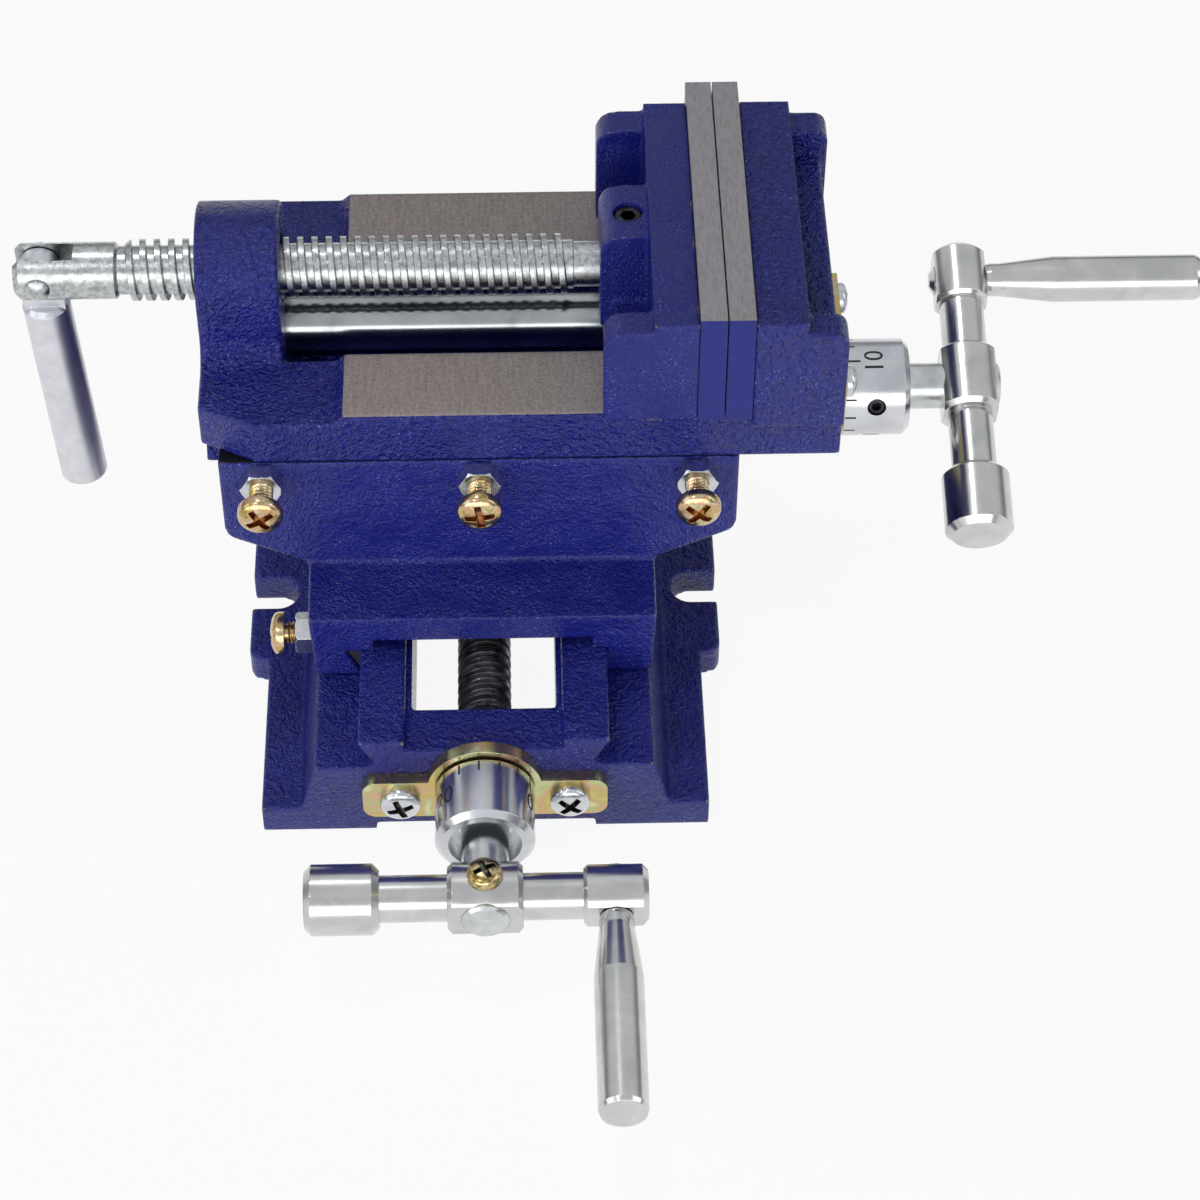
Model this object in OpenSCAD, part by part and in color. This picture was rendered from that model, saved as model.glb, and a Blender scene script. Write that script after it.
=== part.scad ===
// Cross slide vise: a machine vise carried on two crossed dovetail slides.
// Millimetres, +Z up. The origin is the middle of the underside of the base.
// X runs along the clamp screw and the upper slide, Y along the lower slide.

/* [Base] */
// Width of the base plate between the ears
base_w = 96; // [92:1:104]
// Width over the bolting ears
ear_w = 105; // [103:1:116]
// Length of the ears along Y
ear_l = 39.6; // [34:0.2:46]
// Length of the base along the lower slide
base_l = 125.6; // [122:0.2:138]
// Thickness of the base plate
flange_t = 7.5; // [6:0.5:9]
// Height of the block that carries the lower slide
block_h = 20.5; // [20:0.5:24]
// Width of that block at its top
block_w = 72; // [70:1:76]
// Draft of the block's side walls
block_draft = 3.5; // [2:0.5:5]
// Width of the open bolt slots
slot_w = 9.4; // [8.4:0.2:11]
// Depth of the bolt slots from the ear's edge
slot_depth = 10.4; // [8:0.1:12]
// Height of the lower screw's axis over the bench
lower_axis_h = 16.5; // [16:0.5:17.5]
// Width of the opening through the middle of the base
well_w = 30.8; // [29:0.2:32.6]
// Thickness of the wall in front of that opening, which carries the screw
front_wall = 12; // [10:0.2:14]
// Thickness of the wall behind it
end_wall = 8.3; // [8:0.1:10]
// Width and depth of the relief along the underside
sole_relief_w = 47; // [40:1:52]
sole_relief = 2; // [1:0.5:3]

/* [Slides] */
// Width of the lower dovetail over its top
lower_dove_w = 53.5; // [52:0.5:56]
// Height of the lower dovetail
lower_dove_h = 8; // [7:0.5:9]
// Width of the upper dovetail over its underside
upper_dove_w = 52; // [50:0.5:54]
// Height of the upper dovetail
upper_dove_h = 9; // [8.5:0.5:10]
// Sideways run of a dovetail flank for each millimetre of height
flank = 0.5; // [0.4:0.02:0.58]
// Thickness of the adjusting strips
gib_t = 3; // [2.5:0.1:3.4]
// Running gap between sliding faces
slide_gap = 0.1; // [0.06:0.02:0.2]

/* [Saddle] */
// Width of the saddle along X
saddle_w = 109; // [106:1:114]
// Length of its upper block along Y
saddle_l = 70.4; // [69:0.2:74]
// Height of the straight part of the upper block's ends
saddle_side_h = 22; // [20:0.5:25]
// Radius under those ends
saddle_side_r = 4; // [2:0.5:6]
// Width of the lower block
saddle_foot_w = 74.5; // [73:0.5:78]
// Length of the lower block along Y
saddle_foot_l = 101.6; // [96:0.2:106]
// Height of the ledge over the base block
ledge_h = 19.5; // [18.5:0.5:21]
// Height of the saddle's top over the base block
saddle_rise = 50; // [49:0.5:53]
// Depth of the upper screw's axis under the saddle's top
upper_axis_drop = 14.4; // [14:0.1:15]
// Where the saddle stands on the base, forward is negative
saddle_rest = 13.8; // [0:0.1:14.4]

/* [Vise body] */
// Length of the body along X
body_l = 133.6; // [131:0.2:137]
// Width of the body over its ways
body_w = 70.4; // [68:0.2:72]
// Thickness of the slab under the ways
slab_t = 12.8; // [12:0.2:15]
// Width of the slot between the ways
way_slot = 31.2; // [30:0.2:33]
// Length of the ground ways from the jaw face
way_l = 78.5; // [76:0.5:82]
// Drop from the ways to the rough casting
way_step = 2; // [1:0.5:2.5]
// From the closed jaw face to the right end of the body
jaw_back = 24.6; // [24:0.2:28]
// From the middle of the saddle to the closed jaw face
jaw_face_x = 50.8; // [48:0.2:52]
// Radius of the arched boss for the clamp screw
boss_r = 14.3; // [13.5:0.1:15]
// Length of that boss
boss_l = 17.4; // [15:0.2:20]
// Height of the clamp screw's axis over the ways
clamp_axis_h = 10; // [9.5:0.1:11]

/* [Jaws] */
// Width of the jaws
jaw_w = 75; // [73:1:80]
// How far the jaw castings stop short of the plates at the back
jaw_setback = 5; // [2:0.1:6]
// Height of the jaw castings over the ways
jaw_h = 26.6; // [26:0.2:30]
// How far the jaw plates stand above the castings
plate_rise = 1.3; // [0.5:0.1:2]
// Thickness of the jaw plates
plate_t = 5.6; // [5:0.1:6.2]
// Thickness of the jaw slabs behind the plates
jaw_slab = 9.2; // [8.5:0.1:10]
// Depth of the ribs on the moving jaw
jaw_rib = 10.2; // [9.5:0.1:11]
// Thickness of the outer ribs
rib_t = 6.9; // [6:0.1:8]
// Drop of the ribs under the top of the jaws
rib_drop = 2; // [1:0.1:3]

/* [Screws and cranks] */
// Diameter of the lead screws
lead_d = 12; // [11:0.2:12.6]
// Diameter of the clamp screw
clamp_d = 13; // [12:0.2:13.6]
// Diameter of the crank shafts
shaft_d = 10; // [9:0.2:10.4]
// Diameter of the guide bar under the clamp screw
bar_d = 12; // [11:0.2:12.4]
// Diameter and length of the dials
dial_d = 21; // [20:0.5:23]
dial_l = 14.4; // [13:0.2:15.6]
// Throw of the cranks
crank_r = 26.9; // [25:0.1:30]
// Diameter of the hub and the balance weight
knob_d = 14.8; // [14.2:0.2:15.2]
// Diameter of the boss that carries the grip
grip_boss_d = 12.8; // [12:0.2:14]
// Width across the flats of the hub and of the boss
hub_flat = 11.8; // [11:0.2:13]
boss_flat = 11.2; // [10.4:0.2:12]
// Diameter of the crank arm
arm_d = 9.8; // [8:0.2:11]
// Far end of the balance weight
weight_r = 37.2; // [35:0.2:40]
// Length of the balance weight
weight_l = 15.4; // [12:0.2:16]
// Length and largest diameter of the grips
grip_l = 48; // [40:1:55]
grip_d = 10.2; // [9.4:0.2:12]
// Turn of the upper crank away from level
upper_crank_turn = 16; // [0:1:30]
// Turn of each dial on its shaft
lower_dial_turn = 150; // [0:1:359]
upper_dial_turn = 72; // [0:1:359]
// Length of the clamp handle from its pin
handle_l = 60; // [50:1:64]
// Diameter of the clamp handle
handle_d = 10.2; // [9.4:0.2:10.8]
// Lean of the hanging handle
handle_lean = 3; // [0:0.5:5]

/* [Hidden] */
$fn = 72;

// Overshoot of a cut beyond the face it opens
eps = 1;
// Radial clearance of a running fit, and of a hole that only clears a screw
fit = 0.05;
clear = 0.3;

// Heights, from the bench up
base_top = block_h + lower_dove_h;
saddle_bot = block_h + 0.5;
ledge_z = block_h + ledge_h;
saddle_top = block_h + saddle_rise;
upper_floor = saddle_top - upper_dove_h - 0.5;
upper_axis_z = saddle_top - upper_axis_drop;
body_bot = saddle_top + slide_gap;
way_z = body_bot + slab_t;
clamp_z = way_z + clamp_axis_h;
jaw_top = way_z + jaw_h;
bar_z = body_bot + bar_d / 2 + 0.9;
ceiling_z = base_top + slide_gap;
ceiling_relief = ceiling_z + 3.2;

// Lengths along the body, from the closed jaw face
body_left = jaw_back - body_l;
boss_in = body_left + boss_l;
move_back = -plate_t - jaw_slab - jaw_rib;
wall_in = jaw_back - 7.6;

// Stations along a crank's shaft, from the face that its plate is screwed to
collar_d = 17;
collar_t = 3;
retain_t = 3;
journal_l = front_wall - 2;
dial_z = retain_t + 0.6;
hub_gap = 7.7;
hub_z = dial_z + dial_l + hub_gap + hub_flat / 2;
shaft_end = hub_z + hub_flat / 2 + 0.8;
grip_z = hub_z + boss_flat / 2 + 0.3;
hub_half = 7.8;
grip_boss_l = 13.4;
dial_screw_z = dial_z + dial_l - 7.4;

// Small fasteners
gib_screw_d = 5;
gib_head_d = 9.4;
gib_nut_af = 8;
gib_nut_t = 4;
gib_screw_z = saddle_top - 4.2;
gib_screw_x = 45.5;
lower_gib_z = block_h + 4.6;
lower_gib_y = saddle_foot_l / 2 - 8.8;
plate_screw_d = 4;
plate_head_d = 8.6;
plate_w = 52;
plate_ear_h = 11;
plate_arch_r = 12.2;
plate_screw_x = 18;
tab_head_d = 6.9;
tab_edge = 3.9;
nut_x = [18, 44];
nut_half = 10;
nut_drop = 9;
plate_screw_drop = 3.2;
tab_screw_y = 13;
tab_screw_rise = 14.4;
grip_pin_d = 4;
handle_pin_d = 5;
stub_d = 9.6;
stub_l = 15;
fork_d = 12;
fork_slot = 5.4;
pin_x = body_left - 33.6;
fork_end = pin_x - 5;

blue = [0.15, 0.18, 0.45];
grey = [0.55, 0.54, 0.52];
zinc = [0.78, 0.79, 0.80];
chromate = [0.80, 0.68, 0.36];
black = [0.10, 0.10, 0.11];
bronze = [0.66, 0.50, 0.28];

// Frames of the moving groups, in the pose that the part rests in
module at_saddle() { translate([0, saddle_rest, 0]) children(); }
module at_body() { translate([jaw_face_x, saddle_rest, 0]) children(); }
module on_lower_axis() { translate([0, -base_l / 2, lower_axis_h]) rotate([90, 0, 0]) children(); }
module on_upper_axis() { at_body() translate([jaw_back, 0, upper_axis_z]) rotate([90, 0, 90]) children(); }

// A profile drawn in X and Z, run along Y between two stations
module along_y(y0, y1) { translate([0, y1, 0]) rotate([90, 0, 0]) linear_extrude(y1 - y0) children(); }
// A profile drawn in Y and Z, run along X between two stations
module along_x(x0, x1) { translate([x0, 0, 0]) rotate([90, 0, 90]) linear_extrude(x1 - x0) children(); }
// A round bar along X, and one along Y
module rod_x(x0, x1, d) { translate([x0, 0, 0]) rotate([0, 90, 0]) cylinder(h = x1 - x0, d = d); }
module rod_y(y0, y1, d) { translate([0, y0, 0]) rotate([-90, 0, 0]) cylinder(h = y1 - y0, d = d); }
// A box given by two opposite corners
module box(a, b) { translate(a) cube(b - a); }
// A rectangle about the origin with round corners
module rounded(w, l, r) {
    square([w - 2 * r, l], center = true);
    square([w, l - 2 * r], center = true);
    for (sx = [-1, 1], sy = [-1, 1]) translate([sx * (w / 2 - r), sy * (l / 2 - r)]) circle(r);
}
// A symmetric dovetail profile: w across the wide side, narrower by the flank over height h
module dovetail(w, h, up) {
    n = w / 2 - h * flank;
    polygon(up ? [[-n, 0], [n, 0], [w / 2, h], [-w / 2, h]] : [[-w / 2, -h], [w / 2, -h], [n, 0], [-n, 0]]);
}
// A turned piece about Z with both rims chamfered
module turned(d, l, c) {
    rotate_extrude() polygon([[0, 0], [d / 2 - c, 0], [d / 2, c], [d / 2, l - c], [d / 2 - c, l], [0, l]]);
}

// Base: a plate with ears, a drafted block, and the lower dovetail on its top
module base_casting() {
    color(blue) difference() {
        union() {
            intersection() {
                along_y(-base_l / 2, base_l / 2) base_profile();
                linear_extrude(base_top + eps) rounded(ear_w, base_l, 3);
            }
            linear_extrude(flange_t) rounded(ear_w, ear_l, 3);
        }
        // The well that the feed nut travels in
        box([-well_w / 2, front_wall - base_l / 2, -eps], [well_w / 2, base_l / 2 - end_wall, base_top + eps]);
        // A shallow trough between the two ground lands
        box([-well_w / 2 - 1.2, -base_l / 2 - eps, base_top - 3],
            [well_w / 2 + 1.2, base_l / 2 + eps, base_top + eps]);
        // Relief along the sole, so that it stands on two strips
        box([-sole_relief_w / 2, -base_l / 2 - eps, -eps], [sole_relief_w / 2, base_l / 2 + eps, sole_relief]);
        // Open bolt slots
        for (s = [-1, 1]) translate([s * ear_w / 2, 0, -eps]) linear_extrude(flange_t + block_h) bolt_slot(s);
        on_lower_axis() screw_bearing(front_wall);
        on_lower_axis() for (s = [-1, 1]) translate([s * plate_screw_x, -plate_screw_drop, -7])
            cylinder(h = 7 + eps, d = plate_screw_d);
        // Free end of the screw passes the back wall
        translate([0, 0, lower_axis_h]) rod_y(0, base_l / 2 + eps, lead_d + 2 * clear);
    }
}
module base_profile() {
    b = block_w / 2 + block_draft;
    polygon([[-base_w / 2, 0], [base_w / 2, 0], [base_w / 2, flange_t], [b, flange_t], [block_w / 2, block_h],
        [-block_w / 2, block_h], [-b, flange_t], [-base_w / 2, flange_t]]);
    translate([0, block_h]) dovetail(lower_dove_w, lower_dove_h, true);
}
module bolt_slot(s) {
    r = slot_w / 2;
    translate([-s * (slot_depth - r), 0]) circle(r);
    translate([s > 0 ? r - slot_depth : -eps, -r]) square([slot_depth - r + eps, slot_w]);
}
// Journal bore and collar seat, cut from the face at station 0 inwards
module screw_bearing(wall) {
    translate([0, 0, -wall - eps]) cylinder(h = wall + 2 * eps, d = lead_d + 2 * fit);
    translate([0, 0, -collar_t - 0.2]) cylinder(h = collar_t + 0.2 + eps, d = collar_d + 2 * clear);
}

// Lower retaining plate: arched over the shaft, with an ear at each side
module lower_retaining_plate() {
    color(chromate) on_lower_axis() linear_extrude(retain_t) difference() {
        union() {
            circle(plate_arch_r);
            translate([-plate_arch_r, -plate_screw_drop - plate_ear_h / 2])
                square([2 * plate_arch_r, plate_screw_drop + plate_ear_h / 2]);
            translate([0, -plate_screw_drop]) rounded(plate_w, plate_ear_h, 3);
        }
        circle(d = shaft_d + 2 * clear);
        for (s = [-1, 1]) translate([s * plate_screw_x, -plate_screw_drop]) circle(d = plate_screw_d + 0.4);
    }
}
module lower_plate_screws() {
    color(zinc) on_lower_axis() for (s = [-1, 1]) translate([s * plate_screw_x, -plate_screw_drop, 0])
        pan_screw(plate_screw_d, 8, plate_head_d, retain_t);
}
// Pan screw with a cross recess: thread of length l below the seat at station z
module pan_screw(d, l, head, z) {
    h = head * 0.34;
    translate([0, 0, z]) difference() {
        union() {
            rotate_extrude() polygon([[0, 0], [head / 2, 0], [head / 2, h * 0.55], [head * 0.36, h], [0, h]]);
            translate([0, 0, -l]) cylinder(h = l + 0.1, d = d);
        }
        for (a = [0, 90]) rotate(a) translate([-head * 0.27, -head * 0.05, h * 0.45])
            cube([head * 0.54, head * 0.1, h]);
    }
}

// Lead screw: crank shaft, collar, journal and thread, all turned from one bar
module lead_screw(thread_end) {
    j = -collar_t - 0.1;
    r = lead_d / 2;
    s = shaft_d / 2;
    rotate_extrude() polygon([[0, thread_end], [r - 1.2, thread_end], [r - 0.2, thread_end + 1.2],
        [r - 0.2, j - journal_l], [r, j - journal_l + 0.5], [r, j], [collar_d / 2, j],
        [collar_d / 2, -0.1], [s, -0.1], [s, shaft_end - 0.6], [s - 0.6, shaft_end], [0, shaft_end]]);
}
// Dial: a sleeve with a chamfered rim and an open recess at the front
module dial() {
    r = dial_d / 2;
    difference() {
        translate([0, 0, dial_z]) rotate_extrude() polygon([[shaft_d / 2, 0], [r, 0], [r, dial_l - 1.2],
            [r - 1.2, dial_l], [r - 2.8, dial_l], [r - 3.1, dial_l - 4], [shaft_d / 2, dial_l - 4]]);
        translate([0, 0, dial_screw_z]) rotate([-90, 0, 0]) cylinder(h = r + eps, d = 4);
    }
}
module dial_set_screw() {
    translate([0, 0, dial_screw_z]) rotate([-90, 0, 0]) grub(4, shaft_d / 2, dial_d / 2 - 0.6);
}
// Headless screw along Z with a hexagon socket in its outer end
module grub(d, z0, z1) {
    difference() {
        translate([0, 0, z0]) turned(d, z1 - z0, 0.4);
        translate([0, 0, z1 - d * 0.45]) cylinder(h = d, d = d * 0.56, $fn = 6);
    }
}
// Crank arm: one turned bar with a hub, a boss for the grip and a balance weight,
// with the hub and the boss milled flat at the front and the back.
// The side, 1 or -1, is where the hub's clamping screw goes in
module crank_arm(side) {
    k = knob_d / 2;
    a = arm_d / 2;
    b = grip_boss_d / 2;
    g0 = crank_r - grip_boss_l / 2;
    g1 = crank_r + grip_boss_l / 2;
    w1 = weight_l - weight_r;
    difference() {
        translate([0, 0, hub_z]) rotate([0, 90, 0]) rotate_extrude() polygon([
            [0, -weight_r], [k - 1.4, -weight_r], [k, 1.4 - weight_r], [k, w1 - 1.4], [k - 1.4, w1], [a, w1],
            [a, -hub_half], [k - 1, -hub_half], [k, 1 - hub_half], [k, hub_half - 1], [k - 1, hub_half],
            [a, hub_half], [a, g0], [b - 0.8, g0], [b, g0 + 0.8], [b, g1 - 1.2], [b - 1.2, g1], [0, g1]]);
        for (s = [-1, 1]) {
            translate([0, 0, hub_z + s * (hub_flat / 2 + k)])
                cube([2 * hub_half + 2, 2 * knob_d, knob_d], center = true);
            translate([crank_r, 0, hub_z + s * (boss_flat / 2 + k)])
                cube([grip_boss_l + 2, 2 * knob_d, knob_d], center = true);
        }
        translate([0, 0, hub_z - k - eps]) cylinder(h = knob_d + 2 * eps, d = shaft_d);
        translate([crank_r, 0, hub_z - k - eps]) cylinder(h = knob_d + 2 * eps, d = grip_pin_d);
        translate([0, 0, hub_z]) rotate([-90 * side, 0, 0]) cylinder(h = k + eps, d = plate_screw_d);
    }
}
// Cross-recess screw that clamps the hub on its shaft
module crank_screw(side) {
    translate([0, 0, hub_z]) rotate([-90 * side, 0, 0])
        pan_screw(plate_screw_d, knob_d / 2 - shaft_d / 2, 7.4, knob_d / 2);
}
// Stem of the grip: peened over at the back of the boss, headed inside the grip
module grip_pin() {
    back = hub_z - boss_flat / 2;
    translate([crank_r, 0, 0]) rotate_extrude() polygon([[0, back - 1.2], [1.6, back - 1.2], [3.2, back - 0.2],
        [3.2, back], [grip_pin_d / 2, back], [grip_pin_d / 2, grip_z + 30], [0, grip_z + 30]]);
}
// Grip: slim at the neck, swelling to a straight handle with a rounded end
module grip() {
    r = grip_d / 2;
    b = grip_pin_d / 2 + fit;
    translate([crank_r, 0, grip_z]) rotate_extrude() polygon([
        [b, 0], [r * 0.68, 0], [r * 0.72, 1], [r * 0.72, 3], [r * 0.86, 9], [r, 15], [r, grip_l - 1.4],
        [r - 0.4, grip_l - 0.4], [r - 1.4, grip_l], [0, grip_l], [0, 31], [b, 31]]);
}

module lower_lead_screw() { color(black) on_lower_axis() lead_screw(-(base_l - end_wall - 6)); }
module lower_dial() { color(zinc) on_lower_axis() rotate(lower_dial_turn) dial(); }
module lower_dial_set_screw() { color(black) on_lower_axis() rotate(lower_dial_turn) dial_set_screw(); }
module lower_crank_arm() { color(zinc) on_lower_axis() crank_arm(1); }
module lower_crank_screw() { color(chromate) on_lower_axis() crank_screw(1); }
module lower_grip_pin() { color(zinc) on_lower_axis() grip_pin(); }
module lower_crank_grip() { color(zinc) on_lower_axis() grip(); }

// Saddle: carries the female half of both slides, one across the other
module saddle_casting() {
    f = saddle_foot_w / 2;
    l = saddle_foot_l / 2;
    u = saddle_w / 2;
    side_z = saddle_top - saddle_side_h;
    r = saddle_side_r;
    lean = atan2(side_z - ledge_z, u - f);
    t = r * tan((90 - lean) / 2);
    cut = [u - t * cos(lean), side_z - t * sin(lean)];
    color(blue) at_saddle() difference() {
        union() {
            // Lower block, with a ledge that falls a little to the front and back
            intersection() {
                along_y(-l, l) polygon([[1 - f, saddle_bot], [f - 1, saddle_bot],
                    [f, ledge_z + 1], [-f, ledge_z + 1]]);
                along_x(-f - eps, f + eps) polygon([[-l, saddle_bot], [l, saddle_bot], [l, ledge_z - 1.5],
                    [saddle_l / 2 - 1, ledge_z + 0.4], [1 - saddle_l / 2, ledge_z + 0.4], [-l, ledge_z - 1.5]]);
            }
            // Upper block, with ends that slope in to the lower block
            along_y(-saddle_l / 2, saddle_l / 2) {
                polygon([[-f, ledge_z], [f, ledge_z], cut, [u, side_z + t], [u, saddle_top], [-u, saddle_top],
                    [-u, side_z + t], [-cut[0], cut[1]]]);
                for (s = [-1, 1]) translate([s * (u - r), side_z + t]) circle(r);
            }
        }
        // Lower slide, wider on the left by the strip
        along_y(-l - eps, l + eps) lower_female();
        // Relief above the ground strips, clear of the base's arch
        box([-23.5, -l - eps, ceiling_z - eps], [23.5, l + eps, ceiling_relief]);
        // Upper slide, wider at the front by the strip
        along_x(-u - eps, u + eps) upper_female();
        // Channel and seat of the upper screw and its nut
        translate([0, 0, upper_axis_z]) rod_x(-u - eps, u + eps, lead_d + 4);
        box([nut_x[0], -nut_half, upper_axis_z - nut_drop], [nut_x[1], nut_half, upper_floor + eps]);
        // Seat of the lower nut's peg, with its screw from above
        translate([0, 0, ceiling_relief - eps]) cylinder(h = eps + 5, d = 14);
        translate([0, 0, ceiling_relief]) cylinder(h = saddle_top, d = 6);
        // Threaded holes of the adjusting screws
        for (x = [-1, 0, 1] * gib_screw_x) translate([x, 0, gib_screw_z])
            rod_y(-saddle_l / 2 - eps, -upper_dove_w / 2 + 2, gib_screw_d + 0.1);
        for (y = [-1, 0, 1] * lower_gib_y) translate([0, y, lower_gib_z])
            rod_x(-f - eps, -lower_dove_w / 2 + 3, gib_screw_d + 0.1);
    }
}
module lower_female() {
    z = block_h;
    h = ceiling_z - z;
    w = lower_dove_w / 2 + flank * slide_gap + slide_gap;
    n = w - flank * h;
    d = flank * eps;
    polygon([[-n - gib_t + d, z - eps], [n - d, z - eps], [w, ceiling_z], [-w - gib_t, ceiling_z]]);
}
module upper_female() {
    w = upper_dove_w / 2 + 2 * slide_gap;
    b = w + flank * 0.5;
    t = w - flank * upper_dove_h - flank * eps;
    z = saddle_top + eps;
    polygon([[-b - gib_t, upper_floor], [b, upper_floor], [t, z], [-t - gib_t, z]]);
}

// Adjusting strips: flat bars that fill the slack on one flank of each slide
module lower_gib() {
    z0 = saddle_bot + 0.4;
    z1 = ceiling_z - 0.4;
    w = lower_dove_w / 2 + flank * slide_gap + slide_gap;
    a = w - flank * (ceiling_z - z0);
    b = w - flank * (ceiling_z - z1);
    t = gib_t - slide_gap;
    color(bronze) at_saddle() difference() {
        along_y(1 - saddle_foot_l / 2, saddle_foot_l / 2 - 1)
            polygon([[-a, z0], [-b, z1], [-b - t, z1], [-a - t, z0]]);
        for (y = [-1, 0, 1] * lower_gib_y) translate([0, y, lower_gib_z])
            rod_x(-saddle_w, lower_gib_face - 0.001, gib_screw_d + 0.1);
    }
}
module upper_gib() {
    z0 = upper_floor + 0.4;
    z1 = saddle_top - 0.4;
    w = upper_dove_w / 2 + 2 * slide_gap + flank * 0.5;
    a = w - flank * (z0 - upper_floor);
    b = w - flank * (z1 - upper_floor);
    t = gib_t - slide_gap;
    color(bronze) at_saddle() difference() {
        along_x(1 - saddle_w / 2, saddle_w / 2 - 1)
            polygon([[-a, z0], [-b, z1], [-b - t, z1], [-a - t, z0]]);
        for (x = [-1, 0, 1] * gib_screw_x) translate([x, 0, gib_screw_z])
            rod_y(-saddle_w, upper_gib_face - 0.001, gib_screw_d + 0.1);
    }
}
// Bottoms of the flat dimples that the adjusting screws press on
lower_gib_face = -(lower_dove_w / 2 + slide_gap - flank * (base_top - lower_gib_z)) - 1.6;
upper_gib_face = -(upper_dove_w / 2 + slide_gap - flank * (gib_screw_z - upper_floor)) - 1.4;

// One adjusting screw and its lock nut, pointing along Z out of a wall at z = 0, tip at z = -tip
module gib_screw(tip, out) {
    translate([0, 0, -tip]) cylinder(h = tip + out + 0.1, d = gib_screw_d);
    pan_screw(gib_screw_d, 1, gib_head_d, out);
}
module gib_nut() {
    difference() {
        intersection() {
            cylinder(h = gib_nut_t, d = gib_nut_af / cos(30), $fn = 6);
            turned(gib_nut_af / cos(30), gib_nut_t, 0.5);
        }
        translate([0, 0, -eps]) cylinder(h = gib_nut_t + 2 * eps, d = gib_screw_d);
    }
}
module on_front_gib() {
    at_saddle() for (x = [-1, 0, 1] * gib_screw_x) translate([x, -saddle_l / 2, gib_screw_z])
        rotate([90, 0, 0]) children();
}
module on_left_gib() {
    at_saddle() for (y = [-1, 0, 1] * lower_gib_y) translate([-lower_gib_wall, y, lower_gib_z])
        rotate([0, -90, 0]) children();
}
// The left wall leans by a millimetre, so its nuts seat on the outermost line
lower_gib_wall = saddle_foot_w / 2 - 0.6;
module upper_gib_screws() { color(chromate) on_front_gib() gib_screw(saddle_l / 2 + upper_gib_face, 9.6); }
module upper_gib_nuts() { color(zinc) on_front_gib() gib_nut(); }
module lower_gib_screws() { color(chromate) on_left_gib() gib_screw(lower_gib_wall + lower_gib_face, 6.4); }
module lower_gib_nuts() { color(zinc) on_left_gib() gib_nut(); }

// Feed nuts: fixed in the saddle, one hanging in the well of the base
module lower_feed_nut() {
    color(bronze) at_saddle() difference() {
        union() {
            box([-11, -11, 6], [11, 11, ceiling_relief]);
            translate([0, 0, ceiling_relief - 0.1]) cylinder(h = 4.6, d = 14);
        }
        translate([0, 0, lower_axis_h]) rod_y(-12, 12, lead_d + 2 * clear);
        translate([0, 0, lower_axis_h + lead_d / 2 + 2]) cylinder(h = 30, d = 5);
    }
}
module lower_nut_screw() {
    z0 = lower_axis_h + lead_d / 2 + 2.5;
    head = upper_axis_z - lead_d / 2 - 2.2;
    color(black) at_saddle() difference() {
        union() {
            translate([0, 0, z0]) cylinder(h = head - 3 - z0 + 0.1, d = 5);
            translate([0, 0, head - 4]) turned(6, 3.6, 0.4);
        }
        translate([0, 0, head - 2.4]) cylinder(h = 4, d = 3, $fn = 6);
    }
}
module upper_feed_nut() {
    color(bronze) at_saddle() difference() {
        box([nut_x[0], -nut_half, upper_axis_z - nut_drop], [nut_x[1], nut_half, upper_floor - 0.6]);
        translate([0, 0, upper_axis_z]) rod_x(nut_x[0] - eps, nut_x[1] + eps, lead_d + 2 * clear);
    }
}

// Vise body: slab with ground ways, arched boss, fixed jaw, male dovetail and end wall
module vise_body() {
    color(blue) at_body() difference() {
        union() {
            slab();
            boss();
            fixed_jaw();
            translate([0, 0, body_bot + 0.05]) along_x(body_left + 0.4, wall_in + eps) upper_male();
            end_wall_block();
        }
        // Slot between the ways, down to the floor over the dovetail
        box([boss_in, -way_slot / 2, body_bot + 0.5], [plate_t + 2, way_slot / 2, way_z + jaw_h * 0.55]);
        // Clamp screw, guide bar and its pin
        translate([0, 0, clamp_z]) rod_x(body_left - eps, boss_in + eps, clamp_d + 2 * clear);
        translate([0, 0, bar_z]) rod_x(body_left + 3, plate_t + jaw_slab, bar_d);
        translate([body_left + 8, 0, body_bot - upper_dove_h - eps])
            cylinder(h = bar_z - body_bot + upper_dove_h + eps, d = 4);
        // Channel over the upper screw
        box([body_left, -9, body_bot - upper_dove_h - eps], [wall_in - 0.5, 9, body_bot - 3.4]);
        translate([jaw_back, 0, upper_axis_z]) rotate([90, 0, 90]) upper_bearing_holes();
        for (s = [-1, 1]) translate([0, s * jaw_w * 0.27, way_z + jaw_h * 0.62])
            rod_x(plate_t - eps, plate_t + 9, 5);
    }
}
module upper_male() { dovetail(upper_dove_w, upper_dove_h, false); }
module slab() {
    c = [12, 6];
    h = body_w / 2;
    r = jaw_back;
    difference() {
        translate([0, 0, body_bot]) linear_extrude(slab_t) polygon([[body_left + c[0], -h], [r, -h], [r, h],
            [body_left + c[0], h], [body_left, h - c[1]], [body_left, c[1] - h]]);
        // Rough casting left of the ways lies lower, behind a sloped step
        along_y(-h - eps, h + eps) polygon([
            [body_left - eps, way_z - way_step], [-way_l - 2.4, way_z - way_step],
            [-way_l, way_z], [-way_l, way_z + eps], [body_left - eps, way_z + eps]]);
    }
}
module boss() {
    along_x(body_left, boss_in) {
        translate([0, clamp_z]) circle(boss_r);
        polygon([[-boss_r, body_bot], [boss_r, body_bot], [boss_r, clamp_z], [-boss_r, clamp_z]]);
        // Feet that spread into the slab
        difference() {
            translate([-boss_r - 5, way_z - way_step - 1]) square([2 * boss_r + 10, 6]);
            for (s = [-1, 1]) translate([s * (boss_r + 5), way_z - way_step + 5]) circle(5);
        }
    }
}
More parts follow.
